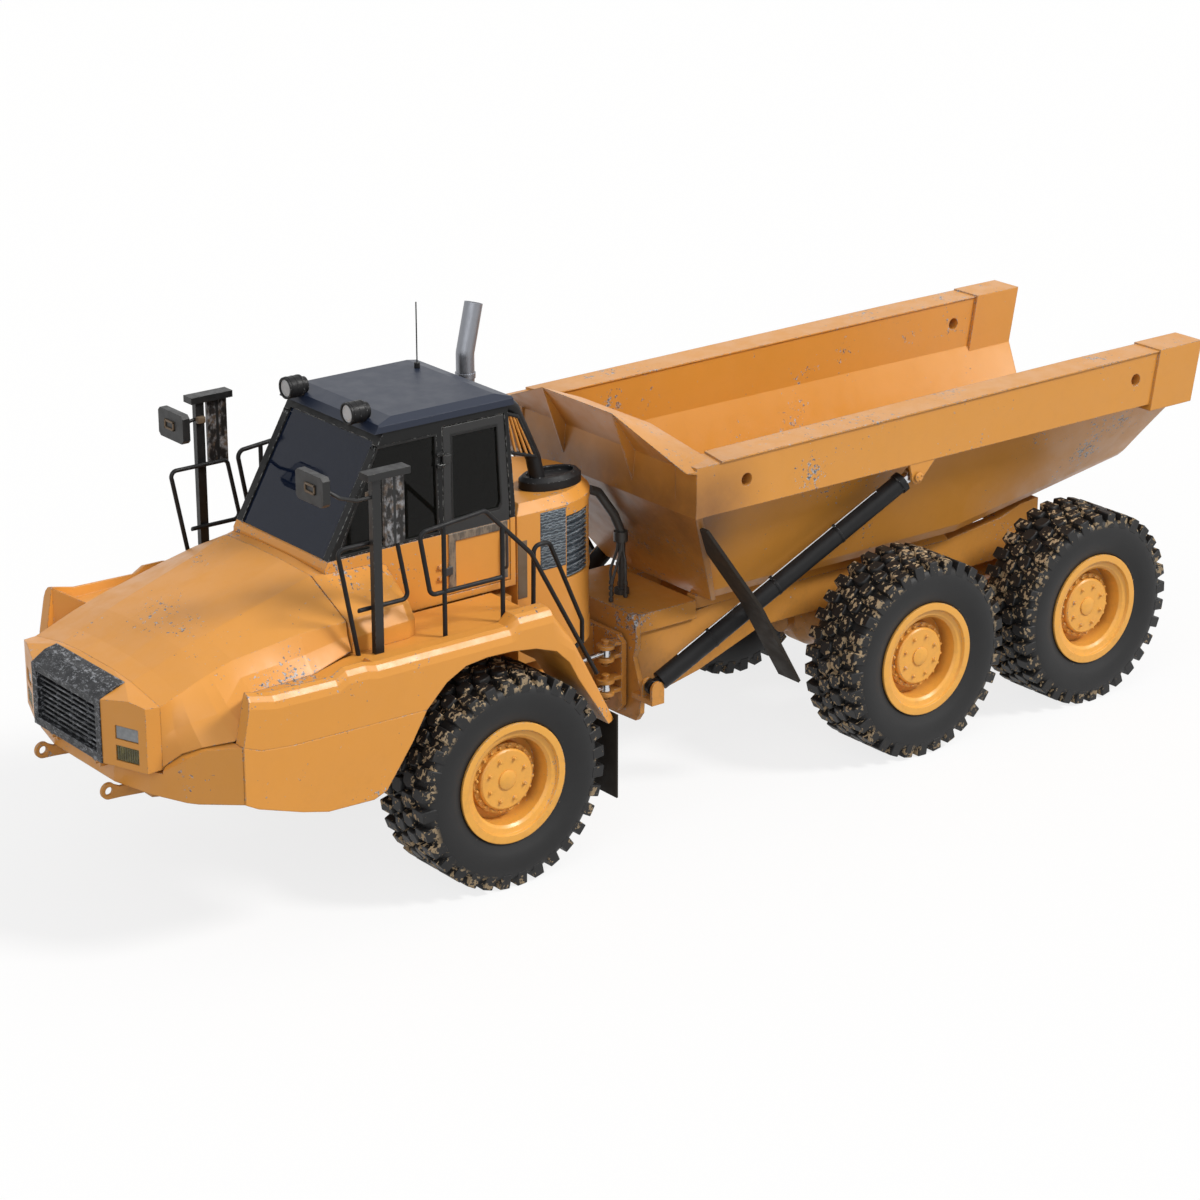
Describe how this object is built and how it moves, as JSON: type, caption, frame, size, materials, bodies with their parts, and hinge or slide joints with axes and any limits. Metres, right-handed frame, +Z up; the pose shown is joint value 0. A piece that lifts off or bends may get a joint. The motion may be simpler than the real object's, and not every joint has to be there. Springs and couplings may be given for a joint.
{
  "type": "articulated dump truck",
  "caption": "Articulated off-road dump truck with a centre steering hitch, twin rear axles, tipping rock body and enclosed central cab.",
  "frame": {"origin": "centre of the bounding box, on the ground under the tyres", "axes": "+X forward along the truck, +Y to its left, +Z up"},
  "size_m": [10.0135, 2.883, 3.935],
  "materials": {
    "tyre": "worn rubber with dried mud in the tread",
    "wheel_paint": "orange-yellow gloss, dusty",
    "glass": "dark tint",
    "yellow_paint": "orange-yellow, chipped to pale primer at edges",
    "chassis_paint": "orange-yellow, dusty and worn",
    "engine_iron": "dull",
    "chromed_rod": "polished",
    "black_steel": "satin black",
    "exhaust_steel": "weathered grey",
    "grey_plastic": "slate blue-grey",
    "lamp_lens": "ribbed lens",
    "rubber_sheet": "worn black sheet",
    "seat_fabric": "dark weave",
    "interior_plastic": "dark grain"
  },
  "bodies": {
    "tractor": {"front_frame": "yellow_paint", "front_axle": "chassis_paint", "engine": "engine_iron", "bumper": "yellow_paint", "fenders": "yellow_paint", "side_skirts": "yellow_paint", "front_mudflaps": "rubber_sheet", "cowl": "yellow_paint", "cab": "yellow_paint", "cab_frame": "black_steel", "cab_glass": "glass", "cab_roof": "grey_plastic", "operator_seat": "seat_fabric", "console": "interior_plastic", "cooling_tower": "yellow_paint", "tower_louvres": "black_steel", "air_duct": "black_steel", "exhaust": "exhaust_steel", "aerial": "black_steel", "work_lights": "black_steel", "handrails": "black_steel", "mirrors": "black_steel"},
    "hood_body": {"hood": "yellow_paint", "nose": "yellow_paint", "grille": "black_steel", "headlamps": "lamp_lens"},
    "cab_door_body": {"cab_door": "yellow_paint", "door_glass": "glass"},
    "hitch_body": {"hitch": "chassis_paint"},
    "left_steering_barrel_body": {"left_steering_barrels": "black_steel"},
    "right_steering_barrel_body": {"right_steering_barrels": "black_steel"},
    "left_steering_rod_body": {"left_steering_rods": "chromed_rod"},
    "right_steering_rod_body": {"right_steering_rods": "chromed_rod"},
    "rear_chassis": {"rear_frame": "chassis_paint", "rear_axles": "chassis_paint", "walking_beams": "chassis_paint", "hydraulic_riser": "black_steel"},
    "dump_body_tray": {"dump_body": "yellow_paint", "mid_wheel_guards": "rubber_sheet"},
    "left_hoist_barrel_body": {"left_hoist_barrel": "black_steel"},
    "right_hoist_barrel_body": {"right_hoist_barrel": "black_steel"},
    "left_hoist_rod_body": {"left_hoist_rod": "chromed_rod"},
    "right_hoist_rod_body": {"right_hoist_rod": "chromed_rod"},
    "front_left_wheel": {"front_left_tyre": "tyre", "front_left_rim": "wheel_paint"},
    "front_right_wheel": {"front_right_tyre": "tyre", "front_right_rim": "wheel_paint"},
    "mid_left_wheel": {"mid_left_tyre": "tyre", "mid_left_rim": "wheel_paint"},
    "mid_right_wheel": {"mid_right_tyre": "tyre", "mid_right_rim": "wheel_paint"},
    "rear_left_wheel": {"rear_left_tyre": "tyre", "rear_left_rim": "wheel_paint"},
    "rear_right_wheel": {"rear_right_tyre": "tyre", "rear_right_rim": "wheel_paint"}
  },
  "joints": [
    {"name": "articulation", "type": "hinge", "parent": "tractor", "child": "hitch_body", "pos_m": [0.93, 0, 0.935], "axis": [0, 0, 1], "range_deg": [-45, 45]},
    {"name": "frame_oscillation", "type": "hinge", "parent": "hitch_body", "child": "rear_chassis", "pos_m": [0.4, 0, 0.935], "axis": [1, 0, 0], "range_deg": [-12, 12]},
    {"name": "front_left_wheel_spin", "type": "hinge", "parent": "tractor", "child": "front_left_wheel", "pos_m": [2.18, 1.144, 0.81], "axis": [0, 1, 0], "continuous": true},
    {"name": "front_right_wheel_spin", "type": "hinge", "parent": "tractor", "child": "front_right_wheel", "pos_m": [2.18, -1.144, 0.81], "axis": [0, 1, 0], "continuous": true},
    {"name": "mid_left_wheel_spin", "type": "hinge", "parent": "rear_chassis", "child": "mid_left_wheel", "pos_m": [-1.85, 1.144, 0.81], "axis": [0, 1, 0], "continuous": true},
    {"name": "mid_right_wheel_spin", "type": "hinge", "parent": "rear_chassis", "child": "mid_right_wheel", "pos_m": [-1.85, -1.144, 0.81], "axis": [0, 1, 0], "continuous": true},
    {"name": "rear_left_wheel_spin", "type": "hinge", "parent": "rear_chassis", "child": "rear_left_wheel", "pos_m": [-3.71, 1.144, 0.81], "axis": [0, 1, 0], "continuous": true},
    {"name": "rear_right_wheel_spin", "type": "hinge", "parent": "rear_chassis", "child": "rear_right_wheel", "pos_m": [-3.71, -1.144, 0.81], "axis": [0, 1, 0], "continuous": true},
    {"name": "dump_tip", "type": "hinge", "parent": "rear_chassis", "child": "dump_body_tray", "pos_m": [-3.77, 0, 1.3], "axis": [0, -1, 0], "range_deg": [0, 70]},
    {"name": "hood_lift", "type": "hinge", "parent": "tractor", "child": "hood_body", "pos_m": [4.93, 0, 1.352], "axis": [0, 1, 0], "range_deg": [0, 60]},
    {"name": "cab_door_swing", "type": "hinge", "parent": "tractor", "child": "cab_door_body", "pos_m": [2.195, 0.613, 2.65], "axis": [0, 0, -1], "range_deg": [0, 70]},
    {"name": "left_steering_swing", "type": "hinge", "parent": "tractor", "child": "left_steering_barrel_body", "pos_m": [1.83, 0.58, 1.0075], "axis": [0, 0, 1], "range_deg": [-9.72, 9.72]},
    {"name": "left_steering_stroke", "type": "slide", "parent": "left_steering_barrel_body", "child": "left_steering_rod_body", "axis": [-0.9927, -0.1206, 0], "range_m": [-0.4, 0.4]},
    {"name": "right_steering_swing", "type": "hinge", "parent": "tractor", "child": "right_steering_barrel_body", "pos_m": [1.83, -0.58, 1.0075], "axis": [0, 0, 1], "range_deg": [-9.72, 9.72]},
    {"name": "right_steering_stroke", "type": "slide", "parent": "right_steering_barrel_body", "child": "right_steering_rod_body", "axis": [-0.9927, 0.1206, 0], "range_m": [-0.4, 0.4]},
    {"name": "left_hoist_swing", "type": "hinge", "parent": "rear_chassis", "child": "left_hoist_barrel_body", "pos_m": [0.39, 0.75, 0.915], "axis": [0.4504, -0.2969, 0.842], "range_deg": [-0.2, 3.99]},
    {"name": "left_hoist_stroke", "type": "slide", "parent": "left_hoist_barrel_body", "child": "left_hoist_rod_body", "axis": [-0.8528, 0.136, 0.5042], "range_m": [-0.01, 2.4414]},
    {"name": "right_hoist_swing", "type": "hinge", "parent": "rear_chassis", "child": "right_hoist_barrel_body", "pos_m": [0.39, -0.75, 0.915], "axis": [-0.4504, -0.2969, -0.842], "range_deg": [-0.2, 3.99]},
    {"name": "right_hoist_stroke", "type": "slide", "parent": "right_hoist_barrel_body", "child": "right_hoist_rod_body", "axis": [-0.8528, -0.136, 0.5042], "range_m": [-0.01, 2.4414]}
  ],
  "couplings": [
    {"joint": "left_steering_swing", "follows": "articulation", "ratio": 0.18783},
    {"joint": "left_steering_stroke", "follows": "articulation", "m_per_rad": 0.44292},
    {"joint": "right_steering_swing", "follows": "articulation", "ratio": 0.18783},
    {"joint": "right_steering_stroke", "follows": "articulation", "m_per_rad": -0.44292},
    {"joint": "left_hoist_swing", "follows": "dump_tip", "ratio": 0.05582},
    {"joint": "left_hoist_stroke", "follows": "dump_tip", "m_per_rad": 1.9786},
    {"joint": "right_hoist_swing", "follows": "dump_tip", "ratio": 0.05582},
    {"joint": "right_hoist_stroke", "follows": "dump_tip", "m_per_rad": 1.9786}
  ]
}
